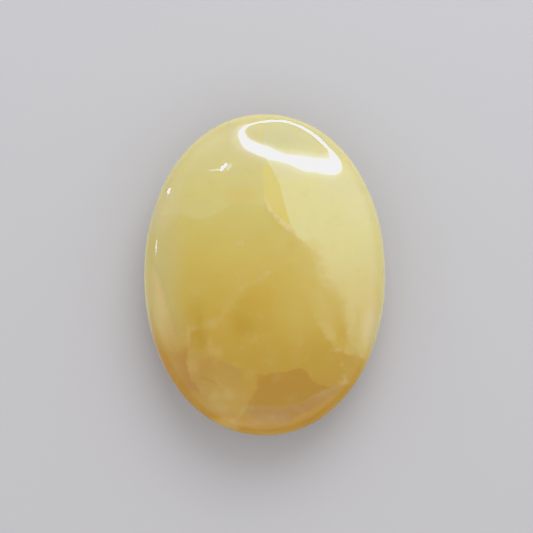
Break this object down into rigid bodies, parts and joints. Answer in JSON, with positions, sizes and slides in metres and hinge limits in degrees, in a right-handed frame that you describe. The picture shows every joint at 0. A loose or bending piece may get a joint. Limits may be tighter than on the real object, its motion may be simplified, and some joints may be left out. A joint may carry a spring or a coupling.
{
  "type": "palm stone",
  "caption": "Smooth oval pebble of polished lemon-yellow calcite, gently domed on both faces, that is held in the palm and rests on a small flat spot.",
  "frame": {"origin": "middle of the small flat spot that the stone rests on", "axes": "+Y along the stone's length, towards the end that is up in the picture; +X across its width; +Z through its thickness, from the flat spot to the crown of the face"},
  "size_m": [0.0524, 0.07, 0.025],
  "materials": {
    "polished_calcite": "polished"
  },
  "bodies": {
    "root": {"palm_stone": "polished_calcite"}
  },
  "joints": []
}
